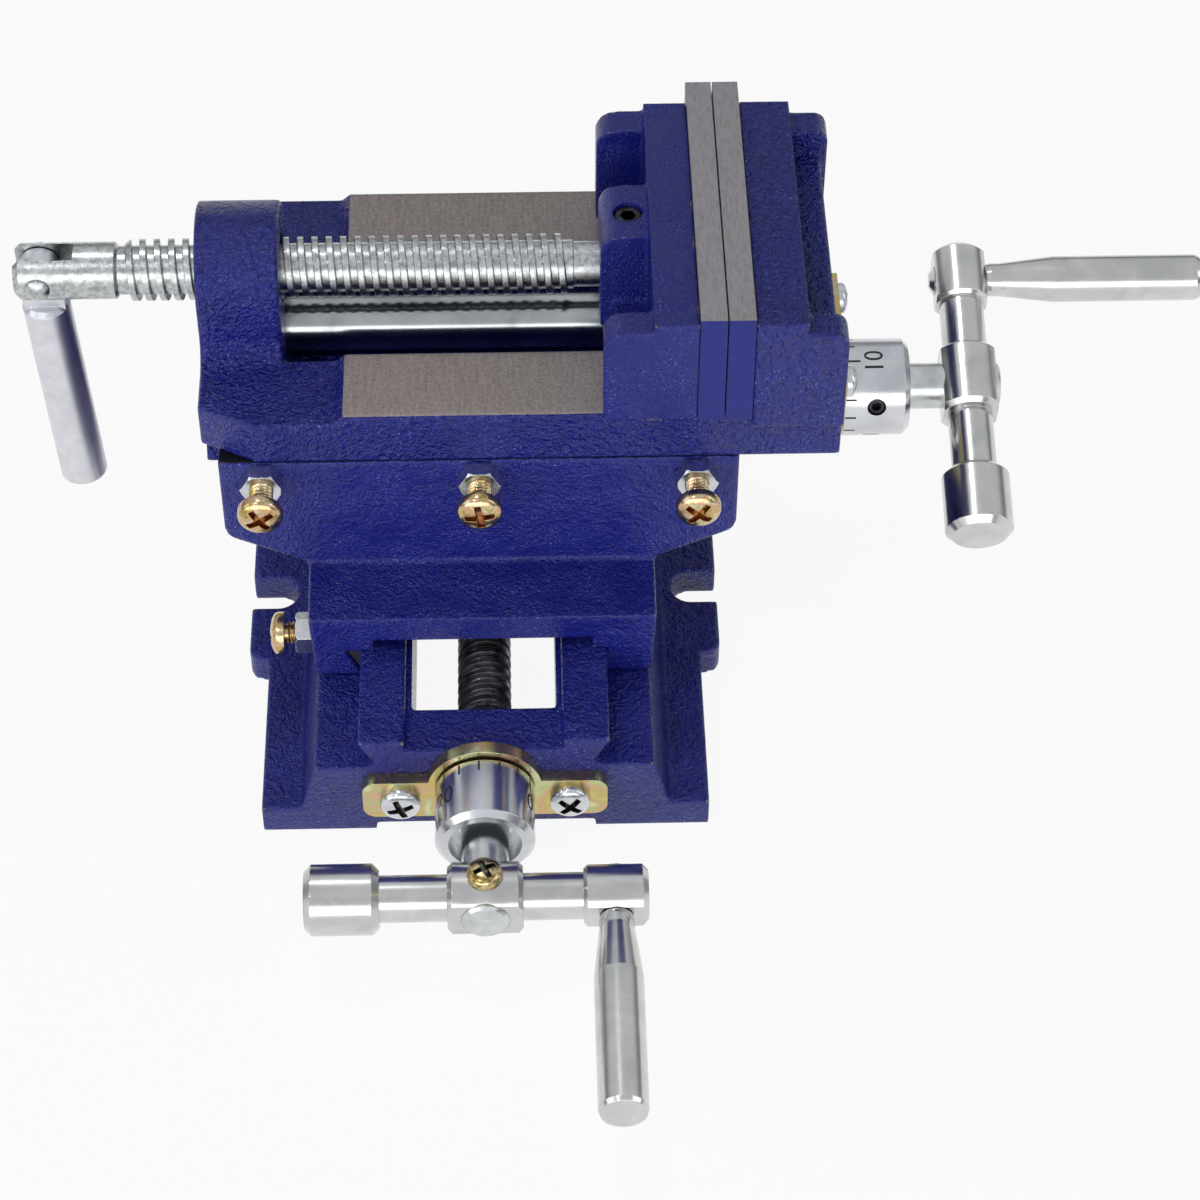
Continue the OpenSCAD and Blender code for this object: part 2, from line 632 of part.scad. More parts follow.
module fixed_jaw() {
    x1 = plate_t + jaw_slab + 1.6;
    w = jaw_w / 2;
    back = w - jaw_setback;
    box([plate_t, -w, way_z - 2], [x1, back, jaw_top]);
    for (y = [-w, back - rib_t]) along_y(y, y + rib_t) fixed_rib(x1);
    // Recessed web between the ribs
    box([x1 - eps, -w + 1, way_z - 2], [jaw_back - 1.6, back - 1, jaw_top - 9]);
}
module fixed_rib(x1) {
    r = 3;
    z1 = jaw_top - rib_drop - 1;
    translate([x1 - eps, way_z - 2]) square([jaw_back - x1 + eps, z1 - r - way_z + 2]);
    translate([x1 - eps, z1 - r - 0.1]) square([jaw_back - r - x1 + eps, r + 0.1]);
    translate([jaw_back - r, z1 - r]) circle(r);
}
module end_wall_block() {
    along_x(wall_in, jaw_back) {
        translate([0, upper_axis_z]) circle(12);
        translate([-12, upper_axis_z]) square([24, body_bot - upper_axis_z + eps]);
        polygon([[-12, upper_axis_z], [12, upper_axis_z], [upper_dove_w / 2 - 4, body_bot + eps],
            [4 - upper_dove_w / 2, body_bot + eps]]);
    }
}
module upper_bearing_holes() {
    screw_bearing(jaw_back - wall_in);
    for (s = [-1, 1]) translate([s * tab_screw_y, tab_screw_rise, -7]) cylinder(h = 7 + eps, d = plate_screw_d);
}

// Upper retaining plate: a tab with two screws above the shaft and a round lower end
module upper_retaining_plate() {
    top = tab_screw_rise + tab_edge;
    side = tab_screw_y + tab_edge;
    color(chromate) on_upper_axis() linear_extrude(retain_t) difference() {
        union() {
            circle(11);
            polygon([[-11, 0], [11, 0], [side, tab_screw_rise - 3], [side, top], [-side, top],
                [-side, tab_screw_rise - 3]]);
        }
        circle(d = shaft_d + 2 * clear);
        for (s = [-1, 1]) translate([s * tab_screw_y, tab_screw_rise]) circle(d = plate_screw_d + 0.4);
    }
}
module upper_plate_screws() {
    color(zinc) on_upper_axis() for (s = [-1, 1]) translate([s * tab_screw_y, tab_screw_rise, 0])
        pan_screw(plate_screw_d, 8, tab_head_d, retain_t);
}
module turned_up() { on_upper_axis() rotate([0, 0, upper_crank_turn]) children(); }
module upper_lead_screw() { color(zinc) on_upper_axis() lead_screw(-(jaw_back + jaw_face_x + 30)); }
module upper_dial() { color(zinc) on_upper_axis() rotate(upper_dial_turn) dial(); }
module upper_dial_set_screw() { color(black) on_upper_axis() rotate(upper_dial_turn) dial_set_screw(); }
module upper_crank_arm() { color(zinc) turned_up() crank_arm(-1); }
module upper_crank_screw() { color(chromate) turned_up() crank_screw(-1); }
module upper_grip_pin() { color(zinc) turned_up() grip_pin(); }
module upper_crank_grip() { color(zinc) turned_up() grip(); }

// Guide bar: steadies the moving jaw, held in both ends of the body by a cross pin
module guide_bar() {
    color(zinc) at_body() translate([0, 0, bar_z]) rotate([0, 90, 0]) translate([0, 0, body_left + 3])
        turned(bar_d, plate_t + jaw_slab - body_left - 3, 0.6);
}
module guide_bar_pin() {
    z0 = body_bot - upper_dove_h + 1;
    color(zinc) at_body() translate([body_left + 8, 0, z0]) cylinder(h = bar_z - bar_d / 2 - z0, d = 4);
}

// Jaw plates: ground bars, each held by two countersunk screws in its gripping face
module jaw_plate(x0) {
    difference() {
        box([x0, -jaw_w / 2, way_z + 0.3], [x0 + plate_t - 0.15, jaw_w / 2, jaw_top + plate_rise]);
        for (s = [-1, 1]) translate([0, s * jaw_w * 0.27, way_z + jaw_h * 0.62]) children();
    }
}
module countersunk(x0, x1, d) {
    translate([x0, 0, 0]) rotate([0, x1 > x0 ? 90 : -90, 0]) rotate_extrude()
        polygon([[0, 0], [d, 0], [d / 2, d / 2], [d / 2, abs(x1 - x0)], [0, abs(x1 - x0)]]);
}
module fixed_jaw_plate() { color(grey) at_body() jaw_plate(0.15) countersunk(0.15, plate_t + 3, 5); }
module fixed_jaw_screws() {
    color(black) at_body() for (s = [-1, 1]) translate([0, s * jaw_w * 0.27, way_z + jaw_h * 0.62])
        countersunk(0.25, plate_t + 8, 4.88);
}
module moving_jaw_plate() { color(grey) at_body() jaw_plate(-plate_t) countersunk(-0.15, -plate_t - 3, 5); }
module moving_jaw_screws() {
    color(black) at_body() for (s = [-1, 1]) translate([0, s * jaw_w * 0.27, way_z + jaw_h * 0.62])
        countersunk(-0.25, -plate_t - 8, 4.88);
}

// Moving jaw: a slab with three ribs, and a tongue that rides the guide bar
module moving_jaw() {
    w = jaw_w / 2;
    back = w - jaw_setback;
    x1 = -plate_t;
    x0 = x1 - jaw_slab;
    z0 = way_z + slide_gap;
    color(blue) at_body() difference() {
        union() {
            box([x0, -w, z0], [x1, back, jaw_top]);
            for (y = [[-w, rib_t - w], [-8.3, 8.3], [back - rib_t, back]])
                along_y(y[0], y[1]) moving_rib(x0 + eps, z0);
            // Web low between the ribs
            box([move_back + 3, -w + 1, z0], [x0 + eps, back - 1, z0 + 7]);
            box([move_back + 1, 0.3 - way_slot / 2, body_bot + 0.9], [x1, way_slot / 2 - 0.3, z0 + eps]);
        }
        translate([0, 0, bar_z]) rod_x(move_back, x1 + eps, bar_d + 2 * fit);
        translate([0, 0, clamp_z]) rod_x(move_back - eps, move_back + stub_l + 0.3, stub_d + 2 * fit);
        translate([move_back + 6, 0, clamp_z]) cylinder(h = jaw_h, d = 6);
        for (s = [-1, 1]) translate([0, s * jaw_w * 0.27, way_z + jaw_h * 0.62]) rod_x(x1 - 9, x1 + eps, 5);
    }
}
module moving_rib(x1, z0) {
    r = 4.5;
    z1 = jaw_top - rib_drop;
    translate([move_back, z0]) square([x1 - move_back, z1 - r - z0]);
    translate([move_back + r, z1 - r - 0.1]) square([x1 - move_back - r, r + 0.1]);
    translate([move_back + r, z1 - r]) circle(r);
}
// Headless screw that sits in the groove of the clamp screw's stub
module jaw_set_screw() {
    color(black) at_body() translate([move_back + 6, 0, 0])
        grub(6, clamp_z + stub_d / 2 - 0.7, jaw_top - rib_drop - 1.2);
}

// Clamp screw: plain stub with a groove, thread, and a forked end for the handle
module clamp_screw() {
    s = stub_d / 2;
    c = clamp_d / 2;
    f = fork_d / 2;
    end = move_back + stub_l;
    color(zinc) at_body() translate([0, 0, clamp_z]) difference() {
        rotate([0, 90, 0]) rotate_extrude() polygon([[0, fork_end], [f - 1.2, fork_end], [f, fork_end + 1.2],
            [f, pin_x + 15.6], [f - 1, pin_x + 16.6], [c - 1.2, pin_x + 16.6], [c, pin_x + 17.8],
            [c, move_back - 7], [s, move_back - 5.5], [s, move_back + 2.8], [s - 1, move_back + 2.8],
            [s - 1, move_back + 9.2], [s, move_back + 9.2], [s, end - 0.6], [s - 0.6, end], [0, end]]);
        box([fork_end - eps, -fork_slot / 2, -f - eps], [pin_x + 7.6, fork_slot / 2, f + eps]);
        translate([pin_x, 0, 0]) rod_y(-f - eps, f + eps, handle_pin_d);
    }
}
module handle_pin() {
    h = fork_d / 2 + 1;
    color(zinc) at_body() translate([pin_x, 0, clamp_z]) rotate([90, 0, 0]) rotate_extrude()
        polygon([[0, -h], [2.2, -h], [2.8, 0.6 - h], [2.5, 1.4 - h],
            [2.5, h - 1.4], [2.8, h - 0.6], [2.2, h], [0, h]]);
}
// Handle: a round bar with a flat tongue that swings in the fork
module clamp_handle() {
    t = fork_slot / 2 - 0.3;
    r = sqrt(handle_d * handle_d / 4 - t * t) - 0.1;
    color(zinc) at_body() translate([pin_x, 0, clamp_z]) rotate([0, -handle_lean, 0]) difference() {
        union() {
            translate([0, 0, -handle_l]) turned(handle_d, handle_l - 8, 1);
            rod_y(-t, t, 2 * r);
            box([-r, -t, -12], [r, t, 0]);
        }
        rod_y(-handle_d, handle_d, handle_pin_d + 2 * fit);
    }
}

base_casting();
lower_retaining_plate();
lower_plate_screws();
lower_lead_screw();
lower_dial();
lower_dial_set_screw();
lower_crank_arm();
lower_crank_screw();
lower_grip_pin();
lower_crank_grip();
saddle_casting();
lower_gib();
lower_gib_screws();
lower_gib_nuts();
upper_gib();
upper_gib_screws();
upper_gib_nuts();
lower_feed_nut();
lower_nut_screw();
upper_feed_nut();
vise_body();
fixed_jaw_plate();
fixed_jaw_screws();
guide_bar();
guide_bar_pin();
upper_retaining_plate();
upper_plate_screws();
upper_lead_screw();
upper_dial();
upper_dial_set_screw();
upper_crank_arm();
upper_crank_screw();
upper_grip_pin();
upper_crank_grip();
moving_jaw();
moving_jaw_plate();
moving_jaw_screws();
jaw_set_screw();
clamp_screw();
handle_pin();
clamp_handle();
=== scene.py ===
import math

import bmesh
import bpy
from mathutils import Matrix, Vector


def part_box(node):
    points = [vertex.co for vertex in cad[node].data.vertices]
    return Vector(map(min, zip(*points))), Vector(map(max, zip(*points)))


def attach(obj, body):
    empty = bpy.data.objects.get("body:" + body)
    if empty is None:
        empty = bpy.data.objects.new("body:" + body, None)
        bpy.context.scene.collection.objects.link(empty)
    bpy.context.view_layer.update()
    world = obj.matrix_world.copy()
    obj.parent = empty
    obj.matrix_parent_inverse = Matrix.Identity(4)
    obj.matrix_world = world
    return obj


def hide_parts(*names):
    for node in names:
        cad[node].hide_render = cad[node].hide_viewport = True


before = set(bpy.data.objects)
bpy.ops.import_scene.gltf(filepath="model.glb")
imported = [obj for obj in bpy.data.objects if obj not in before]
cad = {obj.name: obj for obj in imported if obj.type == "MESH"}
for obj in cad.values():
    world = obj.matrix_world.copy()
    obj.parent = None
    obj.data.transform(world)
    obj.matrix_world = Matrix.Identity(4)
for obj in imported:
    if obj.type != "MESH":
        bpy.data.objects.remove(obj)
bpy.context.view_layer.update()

mm = 0.001


# Base casting: a plate with slotted ears, a drafted block and the lower dovetail, in one piece.
# Grey iron cast in green sand, fettled, and dipped in blue enamel that keeps the sand's skin.
# The same enamel covers the saddle, the vise body and the moving jaw.
def srgb(code):
    """Linear colour of a hex value."""
    parts = [int(code[i:i + 2], 16) / 255 for i in (1, 3, 5)]
    return tuple(c / 12.92 if c <= 0.04045 else ((c + 0.055) / 1.055) ** 2.4 for c in parts) + (1.0,)


def add(tree, kind, inputs=None, links=None, **settings):
    """A shader node with its settings, its constant inputs and its links."""
    made = tree.nodes.new("ShaderNode" + kind)
    for key, value in settings.items():
        setattr(made, key, value)
    for key, value in (inputs or {}).items():
        made.inputs[key].default_value = value
    for key, value in (links or {}).items():
        tree.links.new(value, made.inputs[key])
    return made


def new_material(name):
    """An empty material and its tree."""
    made = bpy.data.materials.new(name)
    made.use_nodes = True
    made.node_tree.nodes.clear()
    return made, made.node_tree


def tones_along(tree, factor, tones, first=0.34, last=0.66):
    """A ramp that runs through these colours between two values of a noise."""
    ramp = add(tree, "ValToRGB", links={"Fac": factor})
    stops = ramp.color_ramp.elements
    stops[0].position, stops[1].position = first, last
    stops[0].color, stops[1].color = srgb(tones[0]), srgb(tones[-1])
    for i, tone in enumerate(tones[1:-1], 1):
        stops.new(first + (last - first) * i / (len(tones) - 1)).color = srgb(tone)
    return ramp.outputs["Color"]


def blue_enamel(name, grain, fold, fold_depth, bare=None):
    """Gloss enamel over a sand-cast skin: grains and wider folds, of these sizes in millimetres,
    catch small glints, with painted shade in the grains' hollows and painted glints as pale specks,
    and sharp edges are chipped and carry painted highlights. bare gives the height and the left end
    of faces machined after painting, their two tones and their roughness."""
    made, tree = new_material(name)
    place = add(tree, "TexCoord").outputs["Object"]
    shape = add(tree, "NewGeometry")
    runs = add(tree, "TexNoise", {"Scale": 1 / (11 * mm), "Detail": 3.0}, {"Vector": place})
    sand = add(tree, "TexNoise", {"Scale": 1 / (grain * mm), "Detail": 2.0, "Roughness": 0.6}, {"Vector": place})
    folds = add(tree, "TexNoise", {"Scale": 1 / (fold * mm), "Detail": 2.0, "Distortion": 0.9}, {"Vector": place})
    patch = add(tree, "MapRange", {"From Min": 0.38, "From Max": 0.62, "To Min": 0.55, "To Max": 1.0},
                {"Value": runs.outputs["Fac"]})
    skin = add(tree, "Math", links={0: sand.outputs["Fac"], 1: patch.outputs["Result"]}, operation="MULTIPLY")
    height = add(tree, "Math", {1: fold_depth}, {0: folds.outputs["Fac"], 2: skin.outputs[0]},
                 operation="MULTIPLY_ADD").outputs[0]
    colour = tones_along(tree, runs.outputs["Fac"], ("#131D84", "#1A2591"))
    # Painted shade darkens the hollows between the grains
    painted_pit_shade = add(tree, "MapRange", {"From Min": 0.47, "From Max": 0.34, "To Max": 0.6},
                {"Value": sand.outputs["Fac"]})
    colour = add(tree, "Mix", {7: srgb("#090E4A")}, {0: painted_pit_shade.outputs["Result"], 6: colour},
                 data_type="RGBA").outputs[2]
    # Painted glints: pale specks scattered over the patches of the skin
    glint_spots = add(tree, "TexNoise", {"Scale": 1 / (0.5 * mm), "Detail": 1.0}, {"Vector": place})
    painted_glints = add(tree, "MapRange", {"From Min": 0.64, "From Max": 0.76, "To Max": 0.8},
                {"Value": glint_spots.outputs["Fac"]})
    glint_patches = add(tree, "MapRange", {"From Min": 0.42, "From Max": 0.62}, {"Value": runs.outputs["Fac"]})
    painted_glints = add(tree, "Math", links={0: painted_glints.outputs["Result"], 1: glint_patches.outputs["Result"]}, operation="MULTIPLY")
    colour = add(tree, "Mix", {7: srgb("#8A93CC")}, {0: painted_glints.outputs[0], 6: colour},
                 data_type="RGBA").outputs[2]
    # Enamel draws back from sharp edges: light grey specks there are partly chips that show grey iron and partly
    # painted highlights along the edges
    edge_specks = add(tree, "TexNoise", {"Scale": 1 / (0.9 * mm), "Detail": 4.0, "Roughness": 0.7}, {"Vector": place})
    edge = add(tree, "MapRange", {"From Min": 0.515, "From Max": 0.56}, {"Value": shape.outputs["Pointiness"]})
    chip_and_glint = add(tree, "Math", links={0: edge_specks.outputs["Fac"], 1: edge.outputs["Result"]}, operation="MULTIPLY")
    edge_chips_and_glints = add(tree, "MapRange", {"From Min": 0.45, "From Max": 0.52}, {"Value": chip_and_glint.outputs["Value"]})
    colour = add(tree, "Mix", {7: srgb("#7C766F")}, {0: edge_chips_and_glints.outputs["Result"], 6: colour},
                 data_type="RGBA").outputs[2]
    rough = add(tree, "MapRange", {"From Min": 0.3, "From Max": 0.7, "To Min": 0.13, "To Max": 0.22},
                {"Value": runs.outputs["Fac"]}).outputs["Result"]
    links = {}
    if bare:
        level_z, left_x, tones, bare_rough = bare
        at = add(tree, "SeparateXYZ", links={"Vector": place})
        up = add(tree, "SeparateXYZ", links={"Vector": shape.outputs["Normal"]})
        level = add(tree, "Math", {1: level_z, 2: 0.5 * mm}, {0: at.outputs["Z"]}, operation="COMPARE")
        flat = add(tree, "Math", {1: 0.9}, {0: up.outputs["Z"]}, operation="GREATER_THAN")
        right = add(tree, "Math", {1: left_x}, {0: at.outputs["X"]}, operation="GREATER_THAN")
        mask = add(tree, "Math", links={0: level.outputs[0], 1: flat.outputs[0]}, operation="MULTIPLY")
        mask = add(tree, "Math", links={0: mask.outputs[0], 1: right.outputs[0]}, operation="MULTIPLY").outputs[0]
        # Grinding marks run across the face. They are finer than could show, so they are drawn at 0.6 mm
        lines = add(tree, "Mapping", {"Scale": (1 / (0.6 * mm), 1 / (7 * mm), 1 / (7 * mm))}, {"Vector": place})
        marks = add(tree, "TexNoise", {"Scale": 1.0, "Detail": 3.0}, {"Vector": lines.outputs["Vector"]})
        stain = add(tree, "TexNoise", {"Scale": 1 / (0.7 * mm), "Detail": 3.0, "Roughness": 0.6}, {"Vector": place})
        tone = add(tree, "Mix", {0: 0.35}, {2: stain.outputs["Fac"], 3: marks.outputs["Fac"]})
        iron = tones_along(tree, tone.outputs[0], tones, 0.34, 0.64)
        colour = add(tree, "Mix", links={0: mask, 6: colour, 7: iron}, data_type="RGBA").outputs[2]
        rough = add(tree, "Mix", {3: bare_rough}, {0: mask, 2: rough}).outputs[0]
        links["Metallic"] = add(tree, "Math", {1: 0.3}, {0: mask}, operation="MULTIPLY").outputs[0]
        painted = add(tree, "Math", {0: 1.0}, {1: mask}, operation="SUBTRACT")
        height = add(tree, "Math", links={0: height, 1: painted.outputs[0]}, operation="MULTIPLY").outputs[0]
    relief = add(tree, "Bump", {"Strength": 1.0, "Distance": 0.6 * mm}, {"Height": height})
    links.update({"Base Color": colour, "Roughness": rough, "Normal": relief.outputs["Normal"]})
    surface = add(tree, "BsdfPrincipled", {"IOR": 1.5, "Specular IOR Level": 0.4}, links)
    add(tree, "OutputMaterial", links={"Surface": surface.outputs["BSDF"]})
    return made


def cast_skin(name, material, voxel, keep):
    """A casting's solid with every edge softened as a sand mould leaves it. It is remeshed at voxel
    size, and a share of its triangles is kept."""
    solid = cad[name]
    solid.data.materials.clear()
    solid.data.materials.append(material)
    grain = solid.modifiers.new("cast_grain", "REMESH")
    grain.mode = "VOXEL"
    grain.voxel_size = voxel
    grain.use_smooth_shade = True
    soft = solid.modifiers.new("soft_edges", "SMOOTH")
    soft.factor = 0.5
    soft.iterations = 3
    thin = solid.modifiers.new("thin_flats", "DECIMATE")
    thin.ratio = keep
    flat = solid.modifiers.new("even_flats", "WEIGHTED_NORMAL")
    flat.keep_sharp = False


cast_skin("base_casting", blue_enamel("blue_enamel_on_base", 0.6, 1.8, 1.3), 0.55 * mm, 0.3)


# Lower and upper retaining plates: one arched over its shaft, one a tab, each with two screws.
# Pressed from 3 mm steel, zinc plated and dipped in yellow chromate, which shows weak rainbow
# tints; the pan screws are bright zinc with a cross recess.
def plated(name, tones, rough, spread, marks=(0.6, 0.6, 0.6), metal=1.0):
    """Electroplated steel: a bright metal that drifts through its tones over spread millimetres.
    marks are the sizes of its fine scratches along each axis, and metal falls below 1 where oil
    or soot dulls it."""
    made, tree = new_material(name)
    place = add(tree, "TexCoord").outputs["Object"]
    drift = add(tree, "TexNoise", {"Scale": 1 / (spread * mm), "Detail": 3.0, "Distortion": 0.6},
                {"Vector": place})
    grid = add(tree, "Mapping", {"Scale": tuple(1 / (s * mm) for s in marks)}, {"Vector": place})
    fine = add(tree, "TexNoise", {"Scale": 1.0, "Detail": 4.0, "Roughness": 0.6},
               {"Vector": grid.outputs["Vector"]})
    haze = add(tree, "MapRange",
               {"From Min": 0.3, "From Max": 0.7, "To Min": rough * 0.9, "To Max": rough * 1.15},
               {"Value": fine.outputs["Fac"]})
    soft = add(tree, "Bevel", {"Radius": 0.25 * mm}, samples=4)
    relief = add(tree, "Bump", {"Strength": 0.12, "Distance": 0.04 * mm},
                 {"Height": fine.outputs["Fac"], "Normal": soft.outputs["Normal"]})
    surface = add(tree, "BsdfPrincipled", {"Metallic": metal},
                  {"Base Color": tones_along(tree, drift.outputs["Fac"], tones),
                   "Roughness": haze.outputs["Result"], "Normal": relief.outputs["Normal"]})
    add(tree, "OutputMaterial", links={"Surface": surface.outputs["BSDF"]})
    return made


def finish_solids(material, *names):
    """These solids keep their shape and take a finish."""
    for name in names:
        cad[name].data.materials.clear()
        cad[name].data.materials.append(material)


def settle(name, shape, smooth_below=35):
    """The mesh as an object at the origin, smooth but for its sharp edges."""
    bmesh.ops.recalc_face_normals(shape, faces=shape.faces)
    for edge in shape.edges:
        edge.smooth = edge.is_manifold and edge.calc_face_angle(0) < math.radians(smooth_below)
    for face in shape.faces:
        face.smooth = True
    mesh = bpy.data.meshes.new(name)
    shape.to_mesh(mesh)
    shape.free()
    made = bpy.data.objects.new(name, mesh)
    bpy.context.scene.collection.objects.link(made)
    return made


def turn_bar(shape, profile, place, steps=64):
    """Adds a bar turned about local Z from (radius, station) points."""
    before = len(shape.verts)
    line = [shape.verts.new((radius, 0, station)) for radius, station in profile]
    edges = [shape.edges.new(pair) for pair in zip(line, line[1:])]
    bmesh.ops.spin(shape, geom=line + edges, cent=(0, 0, 0), axis=(0, 0, 1), dvec=(0, 0, 0),
                   angle=2 * math.pi, steps=steps, use_merge=True)
    shape.verts.ensure_lookup_table()
    bmesh.ops.remove_doubles(shape, verts=shape.verts[before:], dist=1e-7)
    shape.verts.ensure_lookup_table()
    bmesh.ops.transform(shape, matrix=place, verts=shape.verts[before:])


def take_in(work, part):
    """Moves one bmesh into another."""
    piece = bpy.data.meshes.new("part")
    part.to_mesh(piece)
    part.free()
    work.from_mesh(piece)
    bpy.data.meshes.remove(piece)


def wind_thread(shape, place, first, last, pitch, root, crest, top, foot):
    """Adds a right-hand ridge wound round local Z between two stations. It stands from the root
    radius to the crest radius; top and foot are its widths there in shares of the pitch."""
    top, foot, steps = top * pitch, foot * pitch, 40
    turns = int((last - first - foot) / pitch)
    low = last - foot - turns * pitch
    sunk = root - 0.1 * mm
    coil = bmesh.new()
    start = [coil.verts.new((r, 0, low + z)) for r, z in
             ((sunk, 0), (root, 0), (crest, (foot - top) / 2), (crest, (foot + top) / 2), (root, foot), (sunk, foot))]
    ring = [coil.edges.new(pair) for pair in zip(start, start[1:] + start[:1])]
    bmesh.ops.spin(coil, geom=start + ring, cent=(0, 0, 0), axis=(0, 0, 1), dvec=(0, 0, pitch / steps),
                   angle=2 * math.pi, steps=steps)
    one = coil.verts[:] + coil.edges[:] + coil.faces[:]
    for turn in range(1, turns):
        copy = bmesh.ops.duplicate(coil, geom=one)["geom"]
        moved = [v for v in copy if isinstance(v, bmesh.types.BMVert)]
        bmesh.ops.translate(coil, vec=(0, 0, turn * pitch), verts=moved)
    bmesh.ops.remove_doubles(coil, verts=coil.verts, dist=1e-6)
    bmesh.ops.holes_fill(coil, edges=[edge for edge in coil.edges if edge.is_boundary], sides=6)
    # The ridge rises out of the bar over part of a turn at both ends
    run_out = 0.3 * pitch + foot / 2
    for v in coil.verts:
        out = v.co.xy.length
        rise = min(1.0, (v.co.z - low) / run_out, (last - v.co.z) / run_out)
        if out > root and rise < 1:
            v.co.xy *= (root + (out - root) * max(rise, 0.0)) / out
    bmesh.ops.transform(coil, matrix=place, verts=coil.verts)
    take_in(shape, coil)


def pan_head(shape, place, radius, height):
    """Adds a domed head with a cross recess, seated at local z = 0: a grid drawn out to a disc."""
    arm_w, arm_l, sink, taper = 0.13, 0.64, 0.62, 0.45
    skirt_h, roundness = 0.42, 2.4
    dome = bmesh.ops.create_grid(shape, x_segments=36, y_segments=36, size=1.0)["verts"]
    rim = [edge for edge in shape.edges if edge.is_boundary]
    for v in dome:
        u, w = v.co.x, v.co.y
        x, y = u * math.sqrt(1 - w * w / 2), w * math.sqrt(1 - u * u / 2)
        rise = skirt_h + (1 - skirt_h) * math.sqrt(max(0.0, 1 - math.hypot(x, y) ** roundness))
        along, across = max(abs(u), abs(w)), min(abs(u), abs(w))
        if across < arm_w and along < arm_l:
            rise -= sink * (1 - taper * along / arm_l)
            for face in v.link_faces:
                face.material_index = 1
        v.co = (x * radius, y * radius, rise * height)
    skirt = bmesh.ops.extrude_edge_only(shape, edges=rim)["geom"]
    foot = [v for v in skirt if isinstance(v, bmesh.types.BMVert)]
    for v in foot:
        v.co.z = 0
    bmesh.ops.contextual_create(shape, geom=[edge for edge in shape.edges if edge.is_boundary])
    bmesh.ops.transform(shape, matrix=place, verts=dome + foot)


# Height of a pan head, as a share of its diameter
head_share = 0.34


def pan_screws(node, body, places, head_d, shank_d, reach, pitch, material, recess):
    """Cross-recessed screws that stand for one solid, each seated at the origin of its place."""
    overlap = 0.1 * mm
    root = shank_d / 2 - pitch * 0.5
    shape = bmesh.new()
    for place in places:
        pan_head(shape, place, head_d / 2, head_d * head_share)
        turn_bar(shape, [(0, -reach), (root, -reach), (root, overlap), (0, overlap)], place, 32)
        wind_thread(shape, place, overlap - reach, 0, pitch, root, shank_d / 2, 0.15, 0.9)
    made = settle(node + "_pan", shape)
    made.data.materials.append(material)
    made.data.materials.append(recess)
    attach(made, body)
    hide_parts(node)


def middle(name):
    """Middle of a solid's box."""
    low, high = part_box(name)
    return (Vector(low) + Vector(high)) / 2


def axis_frame(origin, forward):
    """Local Z along forward, with local Y kept upright."""
    side = Vector((0, 0, 1)).cross(forward)
    return Matrix.Translation(origin) @ Matrix((side, Vector((0, 0, 1)), forward)).transposed().to_4x4()


def spun_by(degrees):
    """A turn about local Z."""
    return Matrix.Rotation(math.radians(degrees), 4, "Z")


chromate = plated("yellow_chromate_on_zinc",
                  ("#AEB68E", "#CBBE82", "#C2B26C", "#CFA98A", "#B8BC86", "#D8D2A2"), 0.26, 9.0, (4.0, 4.0, 0.4))
zinc_screws = plated("bright_zinc_screws", ("#C6C9CD", "#DADCDF"), 0.2, 4.0)
# The cross recesses are painted dark: painted shade in the hollow of each head
painted_recess_shade = plated("painted_shade_in_recess", ("#4A4641", "#6E6A64"), 0.35, 1.0)
finish_solids(chromate, "lower_retaining_plate", "upper_retaining_plate")

base_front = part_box("base_casting")[0][1]
body_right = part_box("upper_retaining_plate")[0][0]
lower_axis = axis_frame(Vector((middle("lower_dial").x, base_front, middle("lower_dial").z)), Vector((0, -1, 0)))
upper_axis = axis_frame(Vector((body_right, middle("upper_dial").y, middle("upper_dial").z)), Vector((1, 0, 0)))
plate_t, plate_shank, plate_reach, plate_pitch = 3.0 * mm, 4 * mm, 8 * mm, 0.7 * mm
# Each row: solid, body, axis, head, half the distance between the screws, their height, their turns
for node, body, axis, head_d, apart, lift, turns in (
        ("lower_plate_screws", "base", lower_axis, 8.6 * mm, 18 * mm, -3.2 * mm, (20, 50)),
        ("upper_plate_screws", "vise_body", upper_axis, 6.9 * mm, 13 * mm, 14.4 * mm, (30, 30))):
    seats = [axis @ Matrix.Translation((side * apart, lift, plate_t)) @ spun_by(turn)
             for side, turn in zip((-1, 1), turns)]
    pan_screws(node, body, seats, head_d, plate_shank, plate_reach, plate_pitch, zinc_screws, painted_recess_shade)


